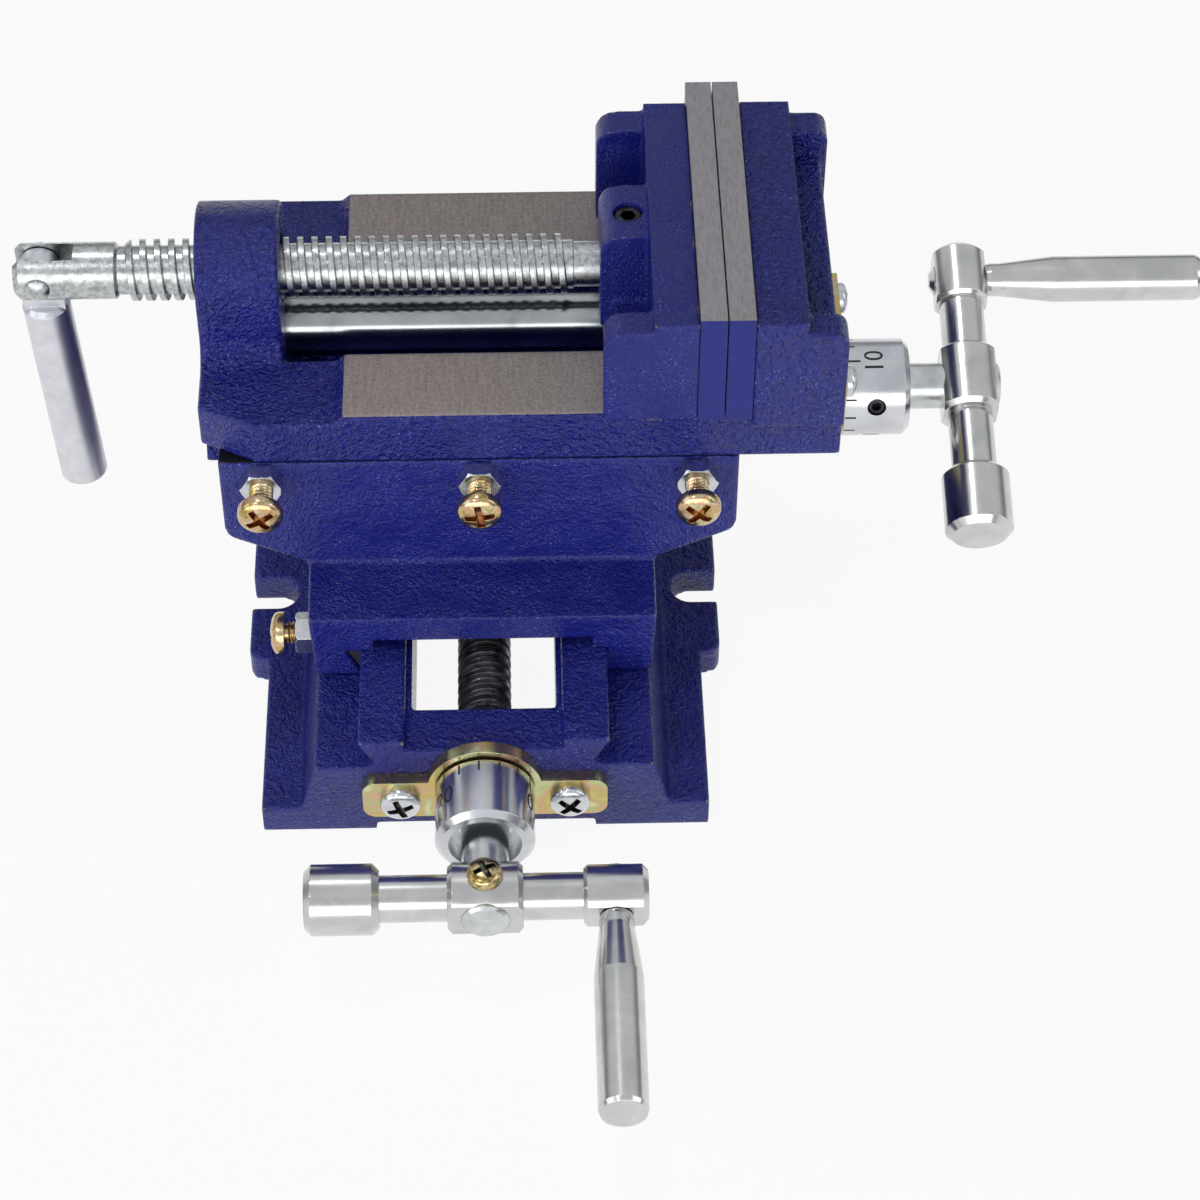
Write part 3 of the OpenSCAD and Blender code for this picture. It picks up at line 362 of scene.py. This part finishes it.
# Lead screws: bars with a crank shaft, a collar, a journal and a right-hand trapezoid thread.
# Carbon steel with a single-start 3 mm thread, dark with oil inside and zinc plated outside.
black_oxide = plated("black_oxide_on_steel", ("#2A2B2E", "#46474B"), 0.27, 3.0)
oiled_steel = plated("oiled_cut_steel", ("#4A4C4D", "#7C7E7F", "#9C9E9E"), 0.3, 4.0, metal=0.7)
zinc_shaft = plated("bright_zinc_shaft", ("#BFC3C2", "#D6D8D9"), 0.24, 5.0)
shaft_r, collar_r, lead_r, lead_pitch = 5.0 * mm, 8.5 * mm, 6.0 * mm, 3.0 * mm
collar_end, journal_end = -3.1 * mm, -13.1 * mm
thread_r = lead_r - 0.2 * mm
root_r = thread_r - 1.3 * mm
for screw, axis, body in (("lower_lead_screw", lower_axis, "lower_screw"),
                          ("upper_lead_screw", upper_axis, "upper_screw")):
    tail, nose = sorted((axis.inverted() @ Vector(corner)).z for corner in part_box(screw))
    shape = bmesh.new()
    turn_bar(shape, [(0, tail), (root_r, tail), (root_r, journal_end), (lead_r, journal_end + 0.5 * mm),
                     (lead_r, collar_end), (collar_r, collar_end), (collar_r, -0.1 * mm), (shaft_r, -0.1 * mm),
                     (shaft_r, nose - 0.6 * mm), (shaft_r - 0.6 * mm, nose), (0, nose)], axis)
    wind_thread(shape, axis, tail + 0.6 * mm, journal_end, lead_pitch, root_r, thread_r, 0.36, 0.62)
    bar = settle(screw + "_turned", shape)
    bar.data.materials.append(oiled_steel)
    bar.data.materials.append(zinc_shaft)
    for face in bar.data.polygons:
        if (axis.inverted() @ face.center).z > 0:
            face.material_index = 1
    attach(bar, body)
    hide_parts(screw)


# Dials: graduated sleeves, each held on its shaft by a small black socket screw.
# Steel, turned and bright zinc plated, with rolled marks and plain numbers filled in black.
dial_zinc = plated("bright_zinc_dial", ("#C6C8CC", "#D8DADD"), 0.2, 8.0, (3.0, 0.3, 3.0))
finish_solids(dial_zinc, "lower_dial", "upper_dial")
finish_solids(black_oxide, "lower_dial_set_screw", "upper_dial_set_screw", "jaw_set_screw")

ink, ink_tree = new_material("black_filled_engraving")
ink_place = add(ink_tree, "TexCoord").outputs["Object"]
wear = add(ink_tree, "TexNoise", {"Scale": 1 / (0.6 * mm)}, {"Vector": ink_place})
fill = add(ink_tree, "MapRange", {"To Min": 0.35, "To Max": 0.6}, {"Value": wear.outputs["Fac"]})
soot = tones_along(ink_tree, wear.outputs["Fac"], ("#17181A", "#26262A"))
matt = add(ink_tree, "BsdfPrincipled", links={"Base Color": soot, "Roughness": fill.outputs["Result"]})
add(ink_tree, "OutputMaterial", links={"Surface": matt.outputs["BSDF"]})

dial_r, mark_from, divisions = 10.5 * mm, 3.8 * mm, 15
mark_w, mark_lift, long_mark, short_mark = 0.45 * mm, 0.03 * mm, 3.4 * mm, 2.4 * mm
figure_size, figure_gap = 4.3 * mm, 0.6 * mm
font_size = figure_size * 1.37


def wrap_on_dial(shape, angle):
    """Rolls flat work, drawn with X round the dial and Y towards its front, onto the sleeve."""
    for v in shape.verts:
        turn = angle + v.co.x / dial_r
        reach = dial_r + v.co.z
        v.co = Vector((math.sin(turn) * reach, math.cos(turn) * reach, v.co.y))


def dial_marks(name, axis, body, first):
    """Fifteen marks from the back rim, every fifth longer and numbered, clockwise from first degrees."""
    work = bmesh.new()
    for i in range(divisions):
        length = long_mark if i % 5 == 0 else short_mark
        bar = bmesh.new()
        bmesh.ops.create_cube(bar, size=1.0)
        bmesh.ops.scale(bar, vec=(mark_w, length, 2 * mark_lift), verts=bar.verts)
        bmesh.ops.translate(bar, vec=(0, mark_from + length / 2, 0), verts=bar.verts)
        wrap_on_dial(bar, math.radians(first + 360 / divisions * i))
        take_in(work, bar)
    for i, figure in enumerate(("0", "10", "20")):
        letters = bpy.data.curves.new("figure", "FONT")
        letters.body = figure
        letters.size = font_size
        letters.align_x = "CENTER"
        letters.extrude = mark_lift
        holder = bpy.data.objects.new("figure", letters)
        bpy.context.scene.collection.objects.link(holder)
        bpy.context.view_layer.update()
        flat = bpy.data.meshes.new_from_object(holder.evaluated_get(bpy.context.evaluated_depsgraph_get()))
        bpy.data.objects.remove(holder)
        bpy.data.curves.remove(letters)
        text = bmesh.new()
        text.from_mesh(flat)
        bpy.data.meshes.remove(flat)
        # The figures stand with their heads towards the back rim
        bmesh.ops.scale(text, vec=(1, -1, 1), verts=text.verts)
        start = mark_from + long_mark + figure_gap + figure_size
        bmesh.ops.translate(text, vec=(0, start, 0), verts=text.verts)
        wrap_on_dial(text, math.radians(first + 120 * i))
        take_in(work, text)
    bmesh.ops.remove_doubles(work, verts=work.verts, dist=1e-7)
    bmesh.ops.transform(work, matrix=axis, verts=work.verts)
    made = settle(name, work)
    made.data.materials.append(ink)
    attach(made, body)


dial_marks("lower_dial_marks", lower_axis, "lower_screw", 66)
dial_marks("upper_dial_marks", upper_axis, "upper_screw", -134)


# Cranks: each a turned arm with hub, grip boss and balance weight, and a grip that spins on a stem.
# Mild steel turned all over and bright zinc plated, so long soft reflections run along every piece;
# a chromate screw clamps each hub on its shaft.
crank_zinc = plated("bright_zinc_crank", ("#C2C3C1", "#D4D4D3"), 0.2, 9.0, (2.0, 2.0, 2.0))
finish_solids(crank_zinc, "lower_crank_arm", "upper_crank_arm", "lower_crank_grip", "upper_crank_grip",
              "lower_grip_pin", "upper_grip_pin")
olive = plated("olive_chromate_on_zinc", ("#7E6A36", "#B79F62", "#D6C8A2", "#9A8450"), 0.24, 1.6)
hub_z, hub_r, upper_turn, recess_turn = 31.6 * mm, 7.4 * mm, 16, 25
crank_head, crank_shank, crank_reach, crank_pitch = 7.4 * mm, 4 * mm, 2.4 * mm, 0.7 * mm
for node, body, axis, turn, side in (("lower_crank_screw", "lower_screw", lower_axis, 0, 1),
                                     ("upper_crank_screw", "upper_screw", upper_axis, upper_turn, -1)):
    across = Matrix.Rotation(math.radians(-90 * side), 4, "X")
    seat = axis @ spun_by(turn) @ Matrix.Translation((0, 0, hub_z)) @ across @ Matrix.Translation((0, 0, hub_r))
    pan_screws(node, body, [seat @ spun_by(recess_turn)], crank_head, crank_shank, crank_reach, crank_pitch,
               olive, painted_recess_shade)


# Saddle casting and its strips: female halves of both slides, with steel strips to take up slack.
# The same sand-cast iron and enamel as the base; the top is machined, dark with oil and painted
# near black, partly as painted shade under the vise body, and the strips are bright drawn bar.
saddle_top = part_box("saddle_casting")[1][2]
# Near-black top: oil on machined iron, and painted shade under the vise body
oily_top_and_shade = (saddle_top, -1.0, ("#17171A", "#26262A"), 0.35)
cast_skin("saddle_casting", blue_enamel("blue_enamel_on_saddle", 0.6, 2.4, 0.8, oily_top_and_shade), 0.55 * mm, 0.25)
drawn_bar = plated("bright_drawn_bar", ("#8A8176", "#A59A8A"), 0.35, 4.0)
finish_solids(drawn_bar, "lower_gib", "upper_gib")


# Adjusting screws and lock nuts: three press on each strip.
# Pan-head M5 machine screws in yellow chromate, each locked by a bright zinc hexagon nut.
gold = plated("gold_chromate_on_zinc", ("#A58A50", "#C9B47C", "#C79F86", "#D9CEA6", "#B4AA74"), 0.2, 2.2)
gib_head, gib_shank, gib_pitch = 9.4 * mm, 5 * mm, 0.9 * mm
head_h, front_step = gib_head * head_share, 45.5 * mm
red_recess = plated("red_sealed_recess", ("#8A3A26", "#A8744A", "#B99A68"), 0.3, 1.4)
low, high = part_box("upper_gib_screws")
front_seats = [axis_frame(Vector((middle("upper_gib_screws").x + step * front_step, low[1] + head_h,
                                  middle("upper_gib_screws").z)), Vector((0, -1, 0))) @ spun_by(turn)
               for step, turn in ((-1, 33), (0, 8), (1, 52))]
pan_screws("upper_gib_screws", "saddle", front_seats, gib_head, gib_shank, high[1] - low[1] - head_h, gib_pitch,
           gold, red_recess)
low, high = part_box("lower_gib_screws")
left_step = (high[1] - low[1] - gib_head) / 2
left_seats = [axis_frame(Vector((low[0] + head_h, middle("lower_gib_screws").y + step * left_step,
                                 middle("lower_gib_screws").z)), Vector((-1, 0, 0))) @ spun_by(turn)
              for step, turn in ((-1, 20), (0, 70), (1, 41))]
pan_screws("lower_gib_screws", "saddle", left_seats, gib_head, gib_shank, high[0] - low[0] - head_h, gib_pitch,
           gold, red_recess)
finish_solids(zinc_screws, "lower_gib_nuts", "upper_gib_nuts")


# Feed nuts: plain bronze blocks seated in the saddle, hidden but for a glimpse in the well.
# Sand-cast bronze, sawn and bored.
bronze = plated("sawn_bronze", ("#8A6A3C", "#A9854E"), 0.4, 3.0)
finish_solids(bronze, "lower_feed_nut", "upper_feed_nut")
finish_solids(black_oxide, "lower_nut_screw")


# Vise body: slab with two ways, arched boss, fixed jaw and the upper dovetail.
# Cast iron in blue enamel, thick and wrinkled on the jaw; the ways were ground after painting
# and are left bare.
way_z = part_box("moving_jaw_plate")[0][2] - 0.3 * mm
jaw_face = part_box("moving_jaw_plate")[1][0] + 0.15 * mm
way_left = jaw_face - 78.8 * mm
ground = (way_z, way_left, ("#877D7A", "#ADA39F"), 0.5)
cast_skin("vise_body", blue_enamel("blue_enamel_on_body", 0.6, 1.5, 2.4, ground), 0.55 * mm, 0.25)


# Guide bar: a round bar low between the ways, which steadies the moving jaw.
# Bright drawn steel, polished by the jaw that slides on it.
polished = plated("polished_guide_bar", ("#9DA1A3", "#B8BCBE"), 0.18, 12.0, (6.0, 0.4, 0.4))
finish_solids(polished, "guide_bar", "guide_bar_pin")


# Jaw plates: two ground bars, painted at their ends with the jaws that they are screwed to.
# Tool steel, surface ground grey on the top and the gripping face; the enamel on the ends was
# dressed with a file and keeps its slanting marks.
def ground_plate(name, low, high):
    """Surface-ground steel whose ends carry the jaws' enamel."""
    made, tree = new_material(name)
    place = add(tree, "TexCoord").outputs["Object"]
    at = add(tree, "SeparateXYZ", links={"Vector": place})
    offset = add(tree, "Math", {1: (low + high) / 2}, {0: at.outputs["Y"]}, operation="SUBTRACT")
    reach = add(tree, "Math", links={0: offset.outputs[0]}, operation="ABSOLUTE")
    ends = add(tree, "Math", {1: (high - low) / 2 - 0.12 * mm}, {0: reach.outputs[0]},
               operation="GREATER_THAN")
    grain = add(tree, "Mapping", {"Scale": (1 / (0.5 * mm), 1 / (2.5 * mm), 1 / (0.5 * mm))}, {"Vector": place})
    grit = add(tree, "TexNoise", {"Scale": 1.0, "Detail": 4.0, "Roughness": 0.65},
               {"Vector": grain.outputs["Vector"]})
    steel = tones_along(tree, grit.outputs["Fac"], ("#888382", "#9C989A", "#A6A2A6"), 0.26, 0.62)
    slant = add(tree, "Mapping", {"Rotation": (0, math.radians(40), 0),
                                  "Scale": (1 / (6 * mm), 1 / (6 * mm), 1 / (0.5 * mm))}, {"Vector": place})
    file_marks = add(tree, "TexNoise", {"Scale": 1.0, "Detail": 3.0}, {"Vector": slant.outputs["Vector"]})
    enamel = tones_along(tree, file_marks.outputs["Fac"], ("#19227E", "#212B8A"))
    colour = add(tree, "Mix", links={0: ends.outputs[0], 6: steel, 7: enamel}, data_type="RGBA")
    metal = add(tree, "MapRange", {"To Min": 0.55, "To Max": 0.0}, {"Value": ends.outputs[0]})
    rough = add(tree, "MapRange", {"To Min": 0.48, "To Max": 0.36}, {"Value": ends.outputs[0]})
    cuts = add(tree, "Mix", links={0: ends.outputs[0], 2: grit.outputs["Fac"], 3: file_marks.outputs["Fac"]})
    soft = add(tree, "Bevel", {"Radius": 0.3 * mm}, samples=4)
    relief = add(tree, "Bump", {"Strength": 0.3, "Distance": 0.06 * mm},
                 {"Height": cuts.outputs[0], "Normal": soft.outputs["Normal"]})
    surface = add(tree, "BsdfPrincipled", {"IOR": 1.5, "Specular IOR Level": 0.38},
                  {"Base Color": colour.outputs[2], "Metallic": metal.outputs["Result"],
                   "Roughness": rough.outputs["Result"], "Normal": relief.outputs["Normal"]})
    add(tree, "OutputMaterial", links={"Surface": surface.outputs["BSDF"]})
    return made


plate_low, plate_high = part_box("fixed_jaw_plate")
finish_solids(ground_plate("surface_ground_jaw_steel", plate_low[1], plate_high[1]),
              "fixed_jaw_plate", "moving_jaw_plate")
finish_solids(black_oxide, "fixed_jaw_screws", "moving_jaw_screws")


# Moving jaw: a ribbed casting that slides on the ways, with a tongue on the guide bar.
# Cast iron in blue enamel, smoother than the body, with a black socket screw in its middle lug.
cast_skin("moving_jaw", blue_enamel("blue_enamel_on_jaw", 0.55, 3.0, 0.35), 0.5 * mm, 0.4)


# Clamp screw: plain stub, right-hand square thread and a forked end, with a hinged bar handle.
# Steel, turned, threaded and zinc plated; the fork is milled and its pin has riveted round ends.
clamp_zinc = plated("zinc_on_clamp_screw", ("#9CA1A0", "#CBCECE"), 0.28, 1.2)
handle_zinc = plated("satin_zinc_handle", ("#D2D3D9", "#DFE0E5"), 0.34, 4.0)
finish_solids(handle_zinc, "clamp_handle")
clamp_axis = axis_frame(Vector((jaw_face, middle("clamp_screw").y, middle("clamp_screw").z)), Vector((1, 0, 0)))
fork_end, stub_end = sorted((clamp_axis.inverted() @ Vector(corner)).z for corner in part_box("clamp_screw"))
fork_r, thread_r, stub_r, groove_r = 6.0 * mm, 6.5 * mm, 4.8 * mm, 3.8 * mm
slot_w, slot_l, clamp_pitch = 5.4 * mm, 12.6 * mm, 3.0 * mm
thread_from, thread_to, root_r = fork_end + 20.2 * mm, stub_end - 20.4 * mm, thread_r - 1.35 * mm
groove_from, groove_to = stub_end - 12.2 * mm, stub_end - 5.8 * mm
shape = bmesh.new()
turn_bar(shape, [(0, fork_end), (fork_r - 1.2 * mm, fork_end), (fork_r, fork_end + 1.2 * mm),
                 (fork_r, thread_from + 1 * mm), (root_r, thread_from + 1.6 * mm), (root_r, thread_to),
                 (stub_r, thread_to), (stub_r, groove_from), (groove_r, groove_from), (groove_r, groove_to),
                 (stub_r, groove_to), (stub_r, stub_end - 0.6 * mm), (stub_r - 0.6 * mm, stub_end),
                 (0, stub_end)], clamp_axis)
blank = settle("fork_blank", shape)
shape = bmesh.new()
bmesh.ops.create_cube(shape, size=1.0)
bmesh.ops.scale(shape, vec=(slot_w, 4 * fork_r, 2 * slot_l), verts=shape.verts)
bmesh.ops.translate(shape, vec=(0, 0, fork_end), verts=shape.verts)
bmesh.ops.transform(shape, matrix=clamp_axis, verts=shape.verts)
mill = settle("slot_mill", shape)
cut = blank.modifiers.new("fork_slot", "BOOLEAN")
cut.object = mill
bpy.context.view_layer.update()
milled = bpy.data.meshes.new_from_object(blank.evaluated_get(bpy.context.evaluated_depsgraph_get()))
shape = bmesh.new()
shape.from_mesh(milled)
bpy.data.meshes.remove(milled)
wind_thread(shape, clamp_axis, thread_from, thread_to, clamp_pitch, root_r, thread_r, 0.42, 0.5)
bpy.data.objects.remove(blank)
bpy.data.objects.remove(mill)
clamp = settle("clamp_screw_threaded", shape)
clamp.data.materials.append(clamp_zinc)
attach(clamp, "clamp_screw")
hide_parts("clamp_screw")

rivet_r, rivet_h = 2.5 * mm, fork_r + 1 * mm
side_axis = axis_frame(middle("handle_pin"), Vector((0, -1, 0)))
shape = bmesh.new()
half = [(0, rivet_h + 0.3 * mm), (1.1 * mm, rivet_h + 0.15 * mm), (2.0 * mm, rivet_h - 0.25 * mm),
        (2.7 * mm, rivet_h - 0.85 * mm), (rivet_r, fork_r)]
turn_bar(shape, [(r, -z) for r, z in half] + half[::-1], side_axis, 40)
rivet = settle("handle_rivet", shape, 50)
rivet.data.materials.append(clamp_zinc)
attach(rivet, "clamp_screw")
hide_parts("handle_pin")


# Stage: a white paper floor under a pale studio ceiling that darkens towards the horizon.
# A wide soft box in front lights the upright faces, two small lamps above set the glints, and a
# weak strip stands at each side.
def seen_rays(tree):
    """1 for rays that are seen straight, in a reflection or through glass, and 0 for light."""
    ray = add(tree, "LightPath").outputs
    mirrored = add(tree, "Math", links={0: ray["Is Camera Ray"], 1: ray["Is Glossy Ray"]}, operation="MAXIMUM")
    return add(tree, "Math", links={0: mirrored.outputs[0], 1: ray["Is Transmission Ray"]},
               operation="MAXIMUM").outputs[0]


floor_shape = bmesh.new()
bmesh.ops.create_grid(floor_shape, x_segments=1, y_segments=1, size=6.0)
floor = settle("studio_floor", floor_shape)
paper, paper_tree = new_material("white_studio_paper")
share = add(paper_tree, "Math", {1: 0.92}, {0: seen_rays(paper_tree)}, operation="MULTIPLY")
card = add(paper_tree, "BsdfDiffuse", {"Color": srgb("#F2F2F2")})
glow = add(paper_tree, "Emission", {"Color": srgb("#FFFFFF"), "Strength": 1.0})
mixed = add(paper_tree, "MixShader",
            links={0: share.outputs[0], 1: card.outputs["BSDF"], 2: glow.outputs["Emission"]})
add(paper_tree, "OutputMaterial", links={"Surface": mixed.outputs["Shader"]})
floor.data.materials.append(paper)

world = bpy.data.worlds.new("pale_studio")
bpy.context.scene.world = world
world.use_nodes = True
sky = world.node_tree
sky.nodes.clear()
facing = add(sky, "SeparateXYZ", links={"Vector": add(sky, "TexCoord").outputs["Generated"]})
dome = tones_along(sky, facing.outputs["Z"], ("#8E9094", "#9A9CA0", "#E2E4E8", "#E6E8EC"), 0.02, 0.62)
level = add(sky, "MapRange", {"To Min": 0.2, "To Max": 0.85}, {"Value": seen_rays(sky)})
ceiling = add(sky, "Background", links={"Color": dome, "Strength": level.outputs["Result"]})
add(sky, "OutputWorld", links={"Surface": ceiling.outputs["Background"]})

aim = Vector((0.02, -0.02, 0.06))
for name, spot, size, power in (("front_box", (-0.2, -1.15, 0.34), (2.2, 0.6), 9.5),
                                ("front_spot", (-0.4, -0.45, 0.95), (0.1, 0.1), 1.2),
                                ("back_spot", (-0.2, 0.3, 1.0), (0.1, 0.08), 1.0),
                                ("right_strip", (0.95, -0.2, 0.6), (0.3, 0.8), 1.0),
                                ("left_strip", (-0.95, -0.2, 0.6), (0.3, 0.8), 1.0)):
    light = bpy.data.lights.new(name, "AREA")
    light.shape = "RECTANGLE"
    light.size, light.size_y = size
    light.energy = power
    lamp = bpy.data.objects.new(name, light)
    lamp.location = spot
    lamp.rotation_euler = (aim - Vector(spot)).to_track_quat("-Z", "Y").to_euler()
    bpy.context.scene.collection.objects.link(lamp)

# Camera: a long lens in front of the vise, 48 degrees above level and turned by a small roll.
# Its place and angles come from a fit to edges and circles of the photograph.
turn, rise, roll = math.radians(-1.81), math.radians(47.76), math.radians(0.42)
focal_px, frame_px, sensor = 3364.4, 1200, 36.0
eye = (9.86 * mm, -515.37 * mm, 570.9 * mm)
back = Vector((math.sin(turn) * math.cos(rise), -math.cos(turn) * math.cos(rise), math.sin(rise)))
right = Vector((math.cos(turn), math.sin(turn), 0))
up = back.cross(right)
lens = bpy.data.cameras.new("camera")
lens.sensor_width = sensor
lens.lens = focal_px / frame_px * sensor
lens.clip_start, lens.clip_end = 0.05, 20
camera = bpy.data.objects.new("camera", lens)
tilt = Matrix((right * math.cos(roll) + up * math.sin(roll), up * math.cos(roll) - right * math.sin(roll), back))
camera.matrix_world = Matrix.Translation(eye) @ tilt.transposed().to_4x4()
bpy.context.scene.collection.objects.link(camera)
bpy.context.scene.camera = camera
bpy.context.scene.view_settings.view_transform = "Standard"
